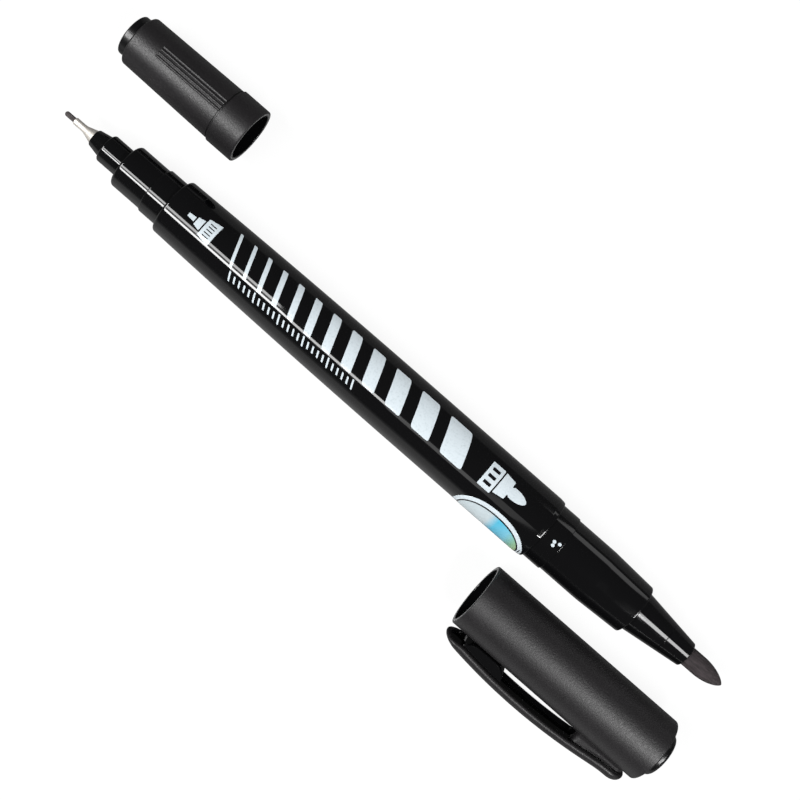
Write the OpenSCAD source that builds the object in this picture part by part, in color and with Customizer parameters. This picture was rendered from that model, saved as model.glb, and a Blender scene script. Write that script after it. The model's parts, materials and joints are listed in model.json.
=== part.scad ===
// Twin-tip marker, lying on a table with both caps pulled off and laid beside it.
// Millimetres. X runs along the pen from the needle point to the bullet point, Z is up.
// The origin is on the pen's axis, in the middle of the barrel's straight stretch.

/* [Barrel] */
// Length of the barrel between its two shoulders
barrel_len = 76.7; // [70:0.1:100]
// Diameter of the straight stretch, the thickest part
barrel_d = 11; // [10.8:0.05:13]
// Step from the needle section's snap ring up to the barrel's outside
needle_shoulder = 0.825; // [0.6:0.025:1.1]
// Step from the bullet section's collar up to the barrel's outside
bullet_shoulder = 0.35; // [0.1:0.05:0.45]
// Length of the long taper at the needle end
needle_taper_len = 49; // [30:0.5:55]
// Length of the short taper at the bullet end
bullet_taper_len = 4.5; // [2:0.1:8]
// Wall at the needle end, where the barrel is thinnest
barrel_wall = 1; // [0.8:0.05:1.2]
// Chamfer on the shoulders
shoulder_chamfer = 0.25; // [0.1:0.05:0.5]

/* [Ink reservoir] */
// Gap all round between the wrapped reservoir and the barrel
reservoir_gap = 0.15; // [0.05:0.05:0.4]
// Thickness of the film wrap
film_t = 0.12; // [0.08:0.02:0.3]
// Gap between the reservoir's ends and the two sections
reservoir_end_gap = 0.3; // [0.1:0.1:1]
// Depth of each nib's tail in the reservoir
nib_bite = 3; // [1:0.5:8]

/* [Bullet end] */
// Diameter of the big cap's seat
bullet_seat_d = 9.65; // [9:0.05:9.9]
// Length of the big cap's seat
bullet_seat_len = 7.5; // [4:0.1:9]
// Step from the seat up to the collar beside the barrel
bullet_collar_rise = 0.2; // [0.1:0.05:0.3]
// Length of the collar
bullet_collar_len = 3.4; // [1.5:0.1:6]
// Drop of the taper from the seat to the section's front edge
bullet_front_drop = 0.425; // [0.2:0.025:0.5]
// Length of the taper from the seat to the front edge
bullet_front_len = 8.1; // [4:0.1:8.5]
// Length of the section's spigot in the barrel
bullet_spigot_len = 8; // [5:0.5:14]
// Diameter of the nose cone's base
bullet_nose_d = 7.2; // [6.9:0.05:7.6]
// Diameter of the nose cone's small end
bullet_nose_tip_d = 4.35; // [4:0.05:5]
// Length of the nose cone
bullet_nose_len = 10.7; // [8:0.1:11]
// Diameter of the nose's stem in the section
bullet_stem_d = 6.4; // [5.8:0.05:6.7]
// Length of the nose's stem
bullet_stem_len = 9; // [5:0.5:12]
// Diameter of the bullet nib
bullet_nib_d = 3.3; // [2.5:0.05:3.5]
// Length of the bullet nib outside the nose
bullet_nib_out = 7.3; // [5:0.1:7.4]
// Straight part of the bullet nib outside the nose
bullet_nib_straight = 2.6; // [1:0.1:4]

/* [Needle end] */
// Diameter of the small cap's seat
needle_seat_d = 7.65; // [7.3:0.05:8.2]
// Length of the small cap's seat
needle_seat_len = 6; // [4:0.1:6.5]
// Step from the seat up to the snap ring beside the barrel
needle_ring_rise = 0.25; // [0.15:0.05:0.4]
// Length of the snap ring
needle_ring_len = 3.6; // [2:0.1:4.5]
// Length of the section's spigot in the barrel
needle_spigot_len = 8; // [5:0.5:14]
// Diameter of the nose's collar
needle_collar_d = 4.9; // [4.5:0.05:5.4]
// Length of the nose's collar
needle_collar_len = 4.2; // [2:0.1:4.5]
// Diameter of the nose's taper beside the collar
needle_nose_d = 3.9; // [3.5:0.05:4.3]
// Diameter of the nose's small end
needle_nose_tip_d = 2.9; // [2.7:0.05:3.3]
// Length of the nose's taper
needle_nose_len = 2.4; // [1.5:0.1:2.8]
// Diameter of the nose's stem in the section
needle_stem_d = 4.2; // [3.6:0.05:4.7]
// Length of the nose's stem
needle_stem_len = 6; // [3:0.5:8]
// Diameter of the steel sleeve's base
sleeve_base_d = 2.5; // [2.1:0.05:2.65]
// Length of the steel sleeve's cone
sleeve_cone_len = 2; // [1:0.1:2.3]
// Diameter of the steel sleeve's tube
sleeve_d = 1.2; // [1.15:0.05:1.5]
// Length of the steel sleeve's tube
sleeve_tube_len = 2; // [1:0.1:2.3]
// Diameter of the steel sleeve's stem in the nose
sleeve_stem_d = 1.8; // [1.5:0.05:2]
// Length of the steel sleeve's stem
sleeve_stem_len = 6; // [3:0.5:8]
// Diameter of the needle nib
needle_nib_d = 0.85; // [0.6:0.05:0.95]
// Length of the needle nib outside the sleeve
needle_nib_out = 2; // [1:0.1:2.1]

/* [Small cap] */
// Wall of the shell at its closed end, round the bore
small_wall = 0.525; // [0.4:0.025:0.8]
// How much the shell swells from its closed end to its mouth ring, all round
small_swell = 0.275; // [0.1:0.025:0.35]
// Length of the mouth ring
small_ring_len = 5; // [3:0.1:7]
// Thickness of the shell's end wall
small_end_wall = 1.2; // [0.8:0.1:2]
// Wall of the liner's cup
small_liner_wall = 0.7; // [0.5:0.05:0.95]
// Room between the needle's tip and the liner's floor with the cap on
small_tip_room = 0.3; // [0.2:0.1:3]
// Thickness of the liner's floor, end plug included
small_floor = 1.9; // [1.6:0.1:3]
// Diameter of the end plug
small_plug_d = 7.1; // [6:0.05:7.1]
// How far the end plug stands out
small_plug_out = 1.5; // [0.5:0.1:1.8]
// Number of grip ribs in each of the two groups
rib_count = 4; // [2:1:6]
// Distance from rib to rib
rib_pitch = 0.65; // [0.6:0.05:0.8]
// Diameter of a rib's round back
rib_d = 0.5; // [0.4:0.05:0.6]
// How far a rib stands out
rib_out = 0.12; // [0.06:0.02:0.2]
// Length of a rib
rib_len = 13; // [8:0.5:14]

/* [Big cap] */
// Wall of the shell, round the bore
big_wall = 0.8; // [0.5:0.05:1.5]
// Thickness of the shell's end wall
big_end_wall = 1.2; // [0.8:0.1:2]
// Wall of the liner's cup
big_liner_wall = 0.8; // [0.5:0.05:0.95]
// Room between the bullet's tip and the liner's floor with the cap on
big_tip_room = 1.1; // [0.5:0.1:5]
// Thickness of the liner's floor, without the end plug
big_floor = 1; // [0.6:0.1:3]
// Diameter of the end plug
big_plug_d = 7.65; // [6.5:0.05:8.2]
// How far the end plug stands out
big_plug_out = 1.5; // [0.5:0.1:3]

/* [Clip] */
// Length of the clip's leaf
clip_len = 36; // [34:0.1:36.2]
// Width of the clip's leaf
clip_w = 5.4; // [4:0.1:5.6]
// Thickness of the clip's leaf
clip_t = 1.3; // [0.9:0.05:1.5]
// Distance from the cap's wall to the leaf's outer face at the top of its bow
clip_rise = 3.7; // [3.5:0.05:4]
// Distance from the leaf's free end to the top of its bow
clip_top_back = 15.2; // [14:0.1:17]
// Radius of the leaf's bow
clip_bow_r = 90; // [85:1:110]
// Distance from the cap's wall to the leaf's outer face at its flat root end
clip_root_rise = 2.15; // [1.9:0.05:2.4]
// Distance from the leaf's root end to the cap's closed end
clip_end_back = 0.4; // [0.3:0.1:0.8]
// Distance from the start of the leaf's root to the cap's closed end
clip_root_back = 10.5; // [9.5:0.1:13]
// Length of the web between the root and the cap
clip_web_len = 9; // [6:0.1:9.5]
// Width of the web
clip_web_w = 2.4; // [1.6:0.1:3.4]
// Distance from the leaf's free end to the middle of the grip pad
clip_pad_back = 7.2; // [6.5:0.1:8]
// Radius of the round at both ends of the grip pad
clip_pad_r = 2.5; // [2:0.1:3]
// Width of the grip pad
clip_pad_w = 3.8; // [2:0.1:4.4]
// Length of the grip pad's flat stretch
clip_pad_flat = 7.4; // [5:0.1:8]
// Gap across the leaf where it bends
clip_bend_gap = 0.2; // [0.15:0.05:0.4]
// Angle of the clip below the horizontal
clip_roll = 19; // [10:0.5:19]

/* [Layout on the table] */
// Distance between the axes of the pen and the small cap
small_cap_side = 16.1; // [11:0.1:30]
// Distance of the small cap's mouth past the barrel's shoulder
small_cap_mouth = 1.9; // [-20:0.1:20]
// Turn of the small cap's ribs from straight up, away from the pen
small_cap_roll = 7; // [-90:1:90]
// Distance between the axes of the pen and the big cap
big_cap_side = 14.5; // [12.5:0.1:30]
// Distance of the big cap's mouth past the needle end's shoulder
big_cap_mouth = 75.5; // [50:0.1:90]

/* [Fits] */
// Clearance all round between pieces that are pressed together
press_gap = 0.02; // [0.01:0.01:0.04]
// Room all round a nib's tail where nothing holds it
tail_room = 0.25; // [0.15:0.05:0.3]
// Clearance all round between a cap and its seat
cap_gap = 0.05; // [0.02:0.01:0.1]
// Step in each cap's bore that the liner's pocket starts at
liner_step = 0.25; // [0.2:0.05:0.3]
// Clearance of the clip's pad over the cap
pad_gap = 0.1; // [0.05:0.05:0.3]

/* [Hidden] */

$fn = 96;

// Colours of the finishes
gloss_black = "#16171a";
satin_black = "#2b2b2d";
steel = "#b9bcc0";
dark_fibre = "#3b3433";
pale_fibre = "#d9d6cc";
clear_film = "#e4e9ee";

// Steps along the barrel's long taper
taper_steps = 14;
// Steps round the bullet nib's ogive and the needle nib's tip
tip_steps = 10;
// Power of the cosine that rounds the bullet nib: 1 is an ellipse, more is sharper
ogive_power = 1.4;
// Small overlap that fuses two shapes of one piece
weld = 0.1;

// Stations along the pen, measured from the needle end's shoulder
straight_start = needle_taper_len;
straight_end = barrel_len - bullet_taper_len;
grip_at = (straight_start + straight_end) / 2;
bullet_collar_end = barrel_len + bullet_collar_len;
bullet_seat_end = bullet_collar_end + bullet_seat_len;
bullet_front = bullet_seat_end + bullet_front_len;
bullet_nose_end = bullet_front + bullet_nose_len;
bullet_tip = bullet_nose_end + bullet_nib_out;
needle_seat_start = -needle_ring_len;
needle_front = needle_seat_start - needle_seat_len;
needle_collar_front = needle_front - needle_collar_len;
needle_nose_front = needle_collar_front - needle_nose_len;
sleeve_cone_front = needle_nose_front - sleeve_cone_len;
sleeve_front = sleeve_cone_front - sleeve_tube_len;
needle_tip = sleeve_front - needle_nib_out;
reservoir_start = needle_spigot_len + reservoir_end_gap;
reservoir_end = barrel_len - bullet_spigot_len - reservoir_end_gap;

// Radii of the two sections and of the barrel's ends beside them
needle_seat_r = needle_seat_d / 2;
needle_ring_r = needle_seat_r + needle_ring_rise;
needle_end_r = needle_ring_r + needle_shoulder;
bullet_seat_r = bullet_seat_d / 2;
bullet_collar_r = bullet_seat_r + bullet_collar_rise;
bullet_front_r = bullet_seat_r - bullet_front_drop;
bullet_end_r = bullet_collar_r + bullet_shoulder;

// Radii inside the barrel
barrel_r = barrel_d / 2;
bore_r = needle_end_r - barrel_wall;
spigot_r = bore_r - press_gap;
film_r = bore_r - reservoir_gap;
film_bore_r = film_r - film_t;
core_r = film_bore_r - press_gap;
bullet_nib_r = bullet_nib_d / 2;
needle_nib_r = needle_nib_d / 2;
bullet_hole_r = bullet_nib_r + press_gap;
needle_hole_r = needle_nib_r + press_gap;
bullet_tail_hole_r = bullet_nib_r + tail_room;
needle_tail_hole_r = needle_nib_r + tail_room;

// Radii and depths inside the small cap, measured from its mouth
small_ring_r = needle_end_r;
small_mouth_r = needle_ring_r + cap_gap;
small_bore_r = needle_seat_r + cap_gap;
small_end_r = small_bore_r + small_wall;
small_root_r = small_end_r + small_swell;
small_step_at = needle_ring_len + cap_gap;
small_liner_at = needle_ring_len + needle_seat_len + cap_gap;
small_pocket_r = small_bore_r - liner_step;
small_liner_r = small_pocket_r - press_gap;
small_cup_r = small_liner_r - small_liner_wall;
small_tip_depth = -needle_tip;
small_cup_end = small_tip_depth + small_tip_room;
small_plug_end = small_cup_end + small_floor;
small_cap_len = small_plug_end - small_plug_out;
small_end_at = small_cap_len - small_end_wall;
small_plug_r = small_plug_d / 2;
small_ring_chamfer = 0.25;
small_taper_len = small_cap_len - small_ring_len;

// Radii and depths inside the big cap, measured from its mouth
big_bore_r = bullet_seat_r + cap_gap;
big_cap_r = big_bore_r + big_wall;
big_liner_at = bullet_seat_len + bullet_front_len + cap_gap;
big_pocket_r = big_bore_r - liner_step;
big_liner_r = big_pocket_r - press_gap;
big_cup_r = big_liner_r - big_liner_wall;
big_tip_depth = bullet_tip - bullet_collar_end;
big_cup_end = big_tip_depth + big_tip_room;
big_end_at = big_cup_end + big_floor;
big_cap_len = big_end_at + big_end_wall;
big_plug_end = big_cap_len + big_plug_out;
big_plug_r = big_plug_d / 2;
cap_chamfer = 0.3;
plug_chamfer = 0.4;
mouth_chamfer = 0.15;

// Height of the pen's axis over the table, and of the caps' axes over the pen's
small_cap_up = small_ring_r - barrel_r;
big_cap_up = big_cap_r - barrel_r;

// The clip, in its own axes: x out from the cap, y across the leaf, z from the mouth
clip_end = big_cap_len - clip_end_back;
clip_start = clip_end - clip_len;
clip_root_at = big_cap_len - clip_root_back;
clip_top_at = clip_start + clip_top_back;
clip_pad_at = clip_start + clip_pad_back;
clip_top_r = big_cap_r + clip_rise;
clip_bow_x = clip_top_r - clip_bow_r;
clip_flat_r = big_cap_r + clip_root_rise;
clip_flat_at = clip_top_at + sqrt(pow(clip_bow_r, 2) - pow(clip_flat_r - clip_bow_x, 2));
clip_pad_x = big_cap_r + pad_gap + clip_pad_r;

// Radius of the barrel at a station on its long taper: a parabola that ends level
function taper_r(x) =
    barrel_r - (barrel_r - needle_end_r) * pow(1 - x / needle_taper_len, 2);

// Places of the three loose things: z of the shape runs along their axes
module on_pen() translate([-grip_at, 0, 0]) rotate([0, 90, 0]) children();
module on_small_cap()
    translate([small_cap_mouth - grip_at, small_cap_side, small_cap_up])
        rotate([0, -90, 0]) rotate([0, 0, small_cap_roll]) children();
module on_big_cap()
    translate([big_cap_mouth - grip_at, -big_cap_side, big_cap_up]) rotate([0, 90, 0]) children();
module on_clip() on_big_cap() rotate([0, 0, clip_roll - 90]) children();

// A turned solid from points [radius, station]
module turned(points) rotate_extrude() polygon(points);
// A plain hole along the axis
module hole(r, from, to) translate([0, 0, from]) cylinder(r = r, h = to - from);

// The pen

module barrel() {
    taper = [for (i = [1:taper_steps]) let (x = needle_taper_len * i / taper_steps) [taper_r(x), x]];
    outside = concat(
        [[bore_r, 0], [needle_end_r - shoulder_chamfer, 0], [taper_r(shoulder_chamfer), shoulder_chamfer]],
        taper,
        [[barrel_r, straight_end], [bullet_end_r, barrel_len - shoulder_chamfer],
         [bullet_end_r - shoulder_chamfer, barrel_len], [bore_r, barrel_len]]);
    color(gloss_black) on_pen() turned(outside);
}

module reservoir_core() {
    color(pale_fibre) on_pen() difference() {
        hole(core_r, reservoir_start, reservoir_end);
        hole(needle_hole_r, reservoir_start - weld, reservoir_start + nib_bite + press_gap);
        hole(bullet_hole_r, reservoir_end - nib_bite - press_gap, reservoir_end + weld);
    }
}

module reservoir_film() {
    color(clear_film) on_pen() difference() {
        hole(film_r, reservoir_start, reservoir_end);
        hole(film_bore_r, reservoir_start - weld, reservoir_end + weld);
    }
}

module bullet_section() {
    spigot_start = barrel_len - bullet_spigot_len;
    outside = [
        [0, spigot_start], [spigot_r, spigot_start], [spigot_r, barrel_len],
        [bullet_collar_r, barrel_len], [bullet_collar_r, bullet_collar_end],
        [bullet_seat_r, bullet_collar_end], [bullet_seat_r, bullet_seat_end],
        [bullet_front_r, bullet_front - mouth_chamfer],
        [bullet_front_r - mouth_chamfer, bullet_front], [0, bullet_front]];
    color(gloss_black) on_pen() difference() {
        turned(outside);
        hole(bullet_tail_hole_r, spigot_start - weld, bullet_front);
        hole(bullet_stem_d / 2 + press_gap, bullet_front - bullet_stem_len - press_gap, bullet_front + weld);
    }
}

module bullet_nose() {
    outside = [
        [0, bullet_front - bullet_stem_len], [bullet_stem_d / 2, bullet_front - bullet_stem_len],
        [bullet_stem_d / 2, bullet_front], [bullet_nose_d / 2, bullet_front],
        [bullet_nose_tip_d / 2, bullet_nose_end - mouth_chamfer],
        [bullet_nose_tip_d / 2 - mouth_chamfer, bullet_nose_end], [0, bullet_nose_end]];
    color(gloss_black) on_pen() difference() {
        turned(outside);
        hole(bullet_hole_r, bullet_front - bullet_stem_len - weld, bullet_nose_end + weld);
    }
}

module bullet_nib() {
    shoulder = bullet_nose_end + bullet_nib_straight;
    ogive_len = bullet_tip - shoulder;
    ogive = [for (i = [0:tip_steps]) let (a = 90 * i / tip_steps)
             [bullet_nib_r * pow(cos(a), ogive_power), shoulder + ogive_len * sin(a)]];
    color(dark_fibre) on_pen()
        turned(concat([[0, reservoir_end - nib_bite], [bullet_nib_r, reservoir_end - nib_bite]], ogive));
}

module needle_section() {
    outside = [
        [0, needle_front], [needle_seat_r - mouth_chamfer, needle_front],
        [needle_seat_r, needle_front + mouth_chamfer], [needle_seat_r, needle_seat_start],
        [needle_ring_r - mouth_chamfer, needle_seat_start],
        [needle_ring_r, needle_seat_start + mouth_chamfer], [needle_ring_r, 0],
        [spigot_r, 0], [spigot_r, needle_spigot_len], [0, needle_spigot_len]];
    color(gloss_black) on_pen() difference() {
        turned(outside);
        hole(needle_tail_hole_r, needle_front, needle_spigot_len + weld);
        hole(needle_stem_d / 2 + press_gap, needle_front - weld, needle_front + needle_stem_len + press_gap);
    }
}

module needle_nose() {
    stem_end = needle_front + needle_stem_len;
    outside = [
        [0, needle_nose_front], [needle_nose_tip_d / 2, needle_nose_front],
        [needle_nose_d / 2, needle_collar_front], [needle_collar_d / 2 - mouth_chamfer, needle_collar_front],
        [needle_collar_d / 2, needle_collar_front + mouth_chamfer], [needle_collar_d / 2, needle_front],
        [needle_stem_d / 2, needle_front], [needle_stem_d / 2, stem_end], [0, stem_end]];
    color(gloss_black) on_pen() difference() {
        turned(outside);
        hole(needle_tail_hole_r, needle_nose_front, stem_end + weld);
        hole(sleeve_stem_d / 2 + press_gap, needle_nose_front - weld,
             needle_nose_front + sleeve_stem_len + press_gap);
    }
}

module needle_sleeve() {
    stem_end = needle_nose_front + sleeve_stem_len;
    outside = [
        [needle_hole_r, sleeve_front], [sleeve_d / 2, sleeve_front], [sleeve_d / 2, sleeve_cone_front],
        [sleeve_base_d / 2, needle_nose_front], [sleeve_stem_d / 2, needle_nose_front],
        [sleeve_stem_d / 2, stem_end], [needle_hole_r, stem_end]];
    color(steel) on_pen() turned(outside);
}

module needle_nib() {
    tail = reservoir_start + nib_bite;
    dome = [for (i = [0:tip_steps]) let (a = 90 * i / tip_steps)
            [needle_nib_r * sin(a), needle_tip + needle_nib_r * (1 - cos(a))]];
    color(dark_fibre) on_pen() turned(concat(dome, [[needle_nib_r, tail], [0, tail]]));
}

// The small cap, from its mouth at z = 0 to its closed end

module grip_rib(angle) {
    slope = atan(small_swell / small_taper_len);
    sunk_r = small_root_r - rib_d / 2 + rib_out;
    rotate([0, 0, angle]) translate([sunk_r, 0, small_ring_len]) rotate([0, -slope, 0]) {
        translate([0, 0, -weld]) cylinder(d = rib_d, h = rib_len + weld, $fn = 24);
        translate([0, 0, rib_len]) sphere(d = rib_d, $fn = 24);
    }
}

module small_cap_shell() {
    step = 180 * rib_pitch / (PI * small_root_r);
    outside = [
        [0, 0], [small_ring_r - mouth_chamfer, 0], [small_ring_r, mouth_chamfer],
        [small_ring_r, small_ring_len - small_ring_chamfer],
        [small_root_r, small_ring_len],
        [small_end_r, small_cap_len - cap_chamfer],
        [small_end_r - cap_chamfer, small_cap_len], [0, small_cap_len]];
    color(satin_black) on_small_cap() difference() {
        union() {
            turned(outside);
            for (side = [0, 180], i = [0:rib_count - 1]) grip_rib(side + (i - (rib_count - 1) / 2) * step);
        }
        hole(small_mouth_r, -weld, small_step_at);
        hole(small_bore_r, 0, small_liner_at);
        hole(small_pocket_r, 0, small_end_at);
        hole(small_plug_r + press_gap, small_end_at - weld, small_cap_len + weld);
    }
}

module small_cap_liner() {
    outside = [
        [0, small_liner_at], [small_liner_r, small_liner_at], [small_liner_r, small_end_at],
        [small_plug_r, small_end_at], [small_plug_r, small_plug_end - plug_chamfer],
        [small_plug_r - plug_chamfer, small_plug_end], [0, small_plug_end]];
    color(gloss_black) on_small_cap() difference() {
        turned(outside);
        hole(small_cup_r, small_liner_at - weld, small_cup_end);
    }
}

// The big cap, from its mouth at z = 0 to its closed end

module big_cap_shell() {
    outside = [
        [0, 0], [big_cap_r - mouth_chamfer, 0], [big_cap_r, mouth_chamfer],
        [big_cap_r, big_cap_len - cap_chamfer], [big_cap_r - cap_chamfer, big_cap_len], [0, big_cap_len]];
    color(satin_black) difference() {
        union() {
            on_big_cap() turned(outside);
            on_clip() leaf(clip_root_at, clip_end);
            on_clip() clip_web();
        }
        on_big_cap() hole(big_bore_r, -weld, big_liner_at);
        on_big_cap() hole(big_pocket_r, 0, big_end_at);
        on_big_cap() hole(big_plug_r + press_gap, big_end_at - weld, big_cap_len + weld);
    }
}

module big_cap_liner() {
    outside = [
        [0, big_liner_at], [big_liner_r, big_liner_at], [big_liner_r, big_end_at],
        [big_plug_r, big_end_at], [big_plug_r, big_plug_end - plug_chamfer],
        [big_plug_r - plug_chamfer, big_plug_end], [0, big_plug_end]];
    color(gloss_black) on_big_cap() difference() {
        turned(outside);
        hole(big_cup_r, big_liner_at - weld, big_cup_end);
    }
}

// The clip

// Round-ended plan of the whole leaf, from its free end to its root end
module leaf_plan() {
    end_r = clip_w / 2;
    translate([clip_start + end_r, 0]) circle(r = end_r);
    translate([clip_end - end_r, 0]) circle(r = end_r);
    translate([clip_start + end_r, -end_r]) square([clip_len - clip_w, clip_w]);
}

// The space under the leaf, to a depth below its outer face: bowed, and flat from clip_flat_at on
module under_leaf(depth, w) {
    intersection() {
        translate([clip_bow_x, 0, clip_top_at]) rotate([90, 0, 0])
            cylinder(r = clip_bow_r - depth, h = w + weld, center = true, $fn = 360);
        translate([0, -w / 2, clip_start - weld])
            cube([clip_top_r + weld, w, clip_flat_at - clip_start + weld]);
    }
    translate([0, -w / 2, clip_flat_at - weld])
        cube([clip_flat_r - depth, w, clip_end - clip_flat_at + 2 * weld]);
}

// The leaf between two distances from the mouth
module leaf(from, to) {
    out = clip_top_r + weld;
    intersection() {
        rotate([0, -90, 0]) translate([0, 0, -out]) linear_extrude(out - big_cap_r) leaf_plan();
        translate([0, -clip_w, from]) cube([out, 2 * clip_w, to - from]);
        difference() {
            under_leaf(0, clip_w + weld);
            under_leaf(clip_t, clip_w + 2 * weld);
        }
    }
}

// The web that carries the leaf's root
module clip_web() {
    inner = big_bore_r + (big_cap_r - big_bore_r) / 2;
    intersection() {
        translate([inner, -clip_web_w / 2, clip_root_at]) cube([clip_top_r, clip_web_w, clip_web_len]);
        under_leaf(clip_t / 2, clip_w);
    }
}

// The pad inside the leaf that grips a pocket: flat, with a round at both ends
module clip_pad() {
    first = clip_pad_at - clip_pad_flat / 2;
    for (end = [first, first + clip_pad_flat]) {
        translate([clip_pad_x, 0, end]) rotate([90, 0, 0])
            cylinder(r = clip_pad_r, h = clip_pad_w, center = true);
    }
    translate([clip_pad_x - clip_pad_r, -clip_pad_w / 2, first])
        cube([2 * clip_pad_r, clip_pad_w, clip_pad_flat]);
}

module clip() {
    color(satin_black) on_clip() {
        leaf(clip_start, clip_root_at - clip_bend_gap);
        intersection() {
            clip_pad();
            under_leaf(clip_t / 2, clip_w);
        }
    }
}

barrel();
reservoir_core();
reservoir_film();
bullet_section();
bullet_nose();
bullet_nib();
needle_section();
needle_nose();
needle_sleeve();
needle_nib();
small_cap_shell();
small_cap_liner();
big_cap_shell();
big_cap_liner();
clip();
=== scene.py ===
"""Looks of a twin-tip marker on a white table, with both caps pulled off and laid beside it.

Lengths are millimetres in the frame's axes: X runs along the pen from needle to bullet point, +Y
points to the small cap and Z is up. An angle round an axis is 0 at the top and grows towards +Y.
"""

import json
import math

import bpy
import numpy as np
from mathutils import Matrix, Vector


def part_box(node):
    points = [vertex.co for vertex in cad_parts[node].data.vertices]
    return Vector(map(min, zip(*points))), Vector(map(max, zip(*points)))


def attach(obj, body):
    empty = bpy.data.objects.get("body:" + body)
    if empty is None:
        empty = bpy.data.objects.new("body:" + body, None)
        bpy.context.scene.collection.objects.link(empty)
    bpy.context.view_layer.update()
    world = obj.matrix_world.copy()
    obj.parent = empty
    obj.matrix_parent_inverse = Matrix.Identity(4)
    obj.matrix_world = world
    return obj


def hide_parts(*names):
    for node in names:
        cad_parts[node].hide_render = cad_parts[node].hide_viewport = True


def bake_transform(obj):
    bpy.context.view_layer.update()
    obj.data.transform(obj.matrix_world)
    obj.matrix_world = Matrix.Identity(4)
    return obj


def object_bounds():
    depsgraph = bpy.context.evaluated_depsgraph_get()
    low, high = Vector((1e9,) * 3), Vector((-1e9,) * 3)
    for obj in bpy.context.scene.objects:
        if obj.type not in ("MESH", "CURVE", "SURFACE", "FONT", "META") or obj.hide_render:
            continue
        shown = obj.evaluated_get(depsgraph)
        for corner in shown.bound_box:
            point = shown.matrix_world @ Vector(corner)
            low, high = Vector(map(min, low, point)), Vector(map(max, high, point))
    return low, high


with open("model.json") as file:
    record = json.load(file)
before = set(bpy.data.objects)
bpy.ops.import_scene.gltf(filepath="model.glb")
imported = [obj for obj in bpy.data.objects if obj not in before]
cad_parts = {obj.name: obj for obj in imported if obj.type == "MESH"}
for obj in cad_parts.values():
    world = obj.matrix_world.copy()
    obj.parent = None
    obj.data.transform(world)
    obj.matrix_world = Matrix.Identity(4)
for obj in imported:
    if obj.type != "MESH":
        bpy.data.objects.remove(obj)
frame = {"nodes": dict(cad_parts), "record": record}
cad_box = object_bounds()

MM = 0.001


# Sizes and places read from the frame

def span(node):
    """Where a node begins and ends along X."""
    low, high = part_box(node)
    return low.x / MM, high.x / MM


def radius(node):
    """Half of a turned node's height."""
    low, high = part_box(node)
    return (high.z - low.z) / 2 / MM


def mount(name):
    """A mount's radius, where it begins and ends along X, and its axis's place (y, z)."""
    found = next(m for m in frame["record"]["mounts"] if m["name"] == name)
    x, y, z = (value / MM for value in found["pos_m"])
    half = found["dims"]["length_mm"] / 2
    return found["dims"]["r_mm"], x - half, x + half, (y, z)


barrel_start, barrel_end = span("barrel")
barrel_r, straight_start, _, pen_axis = mount("barrel_grip")
needle_front, needle_spigot_end = span("needle_section")
needle_ring_r = radius("needle_section")
needle_seat_r, _, needle_ring_start, _ = mount("needle_cap_seat")
needle_nose_front, needle_stem_end = span("needle_nose")
needle_collar_r = radius("needle_nose")
sleeve_front, sleeve_stem_end = span("needle_sleeve")
sleeve_base_r = radius("needle_sleeve")
needle_tip, needle_tail = span("needle_nib")
needle_nib_r = radius("needle_nib")
bullet_spigot_start, bullet_front = span("bullet_section")
bullet_collar_r = radius("bullet_section")
bullet_seat_r, bullet_collar_end, bullet_seat_end, _ = mount("bullet_cap_seat")
bullet_stem_start, bullet_nose_end = span("bullet_nose")
bullet_nose_r = radius("bullet_nose")
bullet_tail, bullet_tip = span("bullet_nib")
bullet_nib_r = radius("bullet_nib")
small_closed, small_mouth = span("small_cap_shell")
small_ring_r = radius("small_cap_shell")
small_bore_r, _, small_bore_start, small_axis = mount("small_cap_bore")
small_plug_end, small_liner_start = span("small_cap_liner")
small_liner_r = radius("small_cap_liner")
big_mouth, big_closed = span("big_cap_shell")
big_cap_r = radius("big_cap_shell")
big_bore_r, _, big_bore_end, big_axis = mount("big_cap_bore")
big_liner_start, big_plug_end = span("big_cap_liner")
big_liner_r = radius("big_cap_liner")
table_z = cad_box[0].z / MM

# Clearance all round between pressed pieces
press_gap = 0.02
# Room all round a nib's tail, where nothing holds it
tail_room = 0.25
# Outer radius of the barrel beside the needle section and the bullet section
barrel_needle_r = small_ring_r
barrel_bullet_r = 5.375
# Cone in which the barrel narrows towards the bullet section
cone_len = 0.9
cone_start = barrel_end - cone_len
barrel_wall = 1.0
bore_r = barrel_needle_r - barrel_wall
spigot_r = bore_r - press_gap
# Radius on an edge that a hand meets, on a crisp one at a joint and on a fine one
soft_edge = 0.22
crisp_edge = 0.1
fine_edge = 0.05


# Mesh makers

# Angles round a turned piece
ROUND = np.linspace(0, 2 * np.pi, 193)
# Decimals at which two points count as one
MERGE_DECIMALS = 6
# Angle past which an edge between faces is shaded as a sharp one
SHARP = math.radians(32)


def put(name, data):
    """Puts an object with a mesh, a lamp or a camera into the scene."""
    thing = bpy.data.objects.new(name, data)
    bpy.context.scene.collection.objects.link(thing)
    return thing


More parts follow.
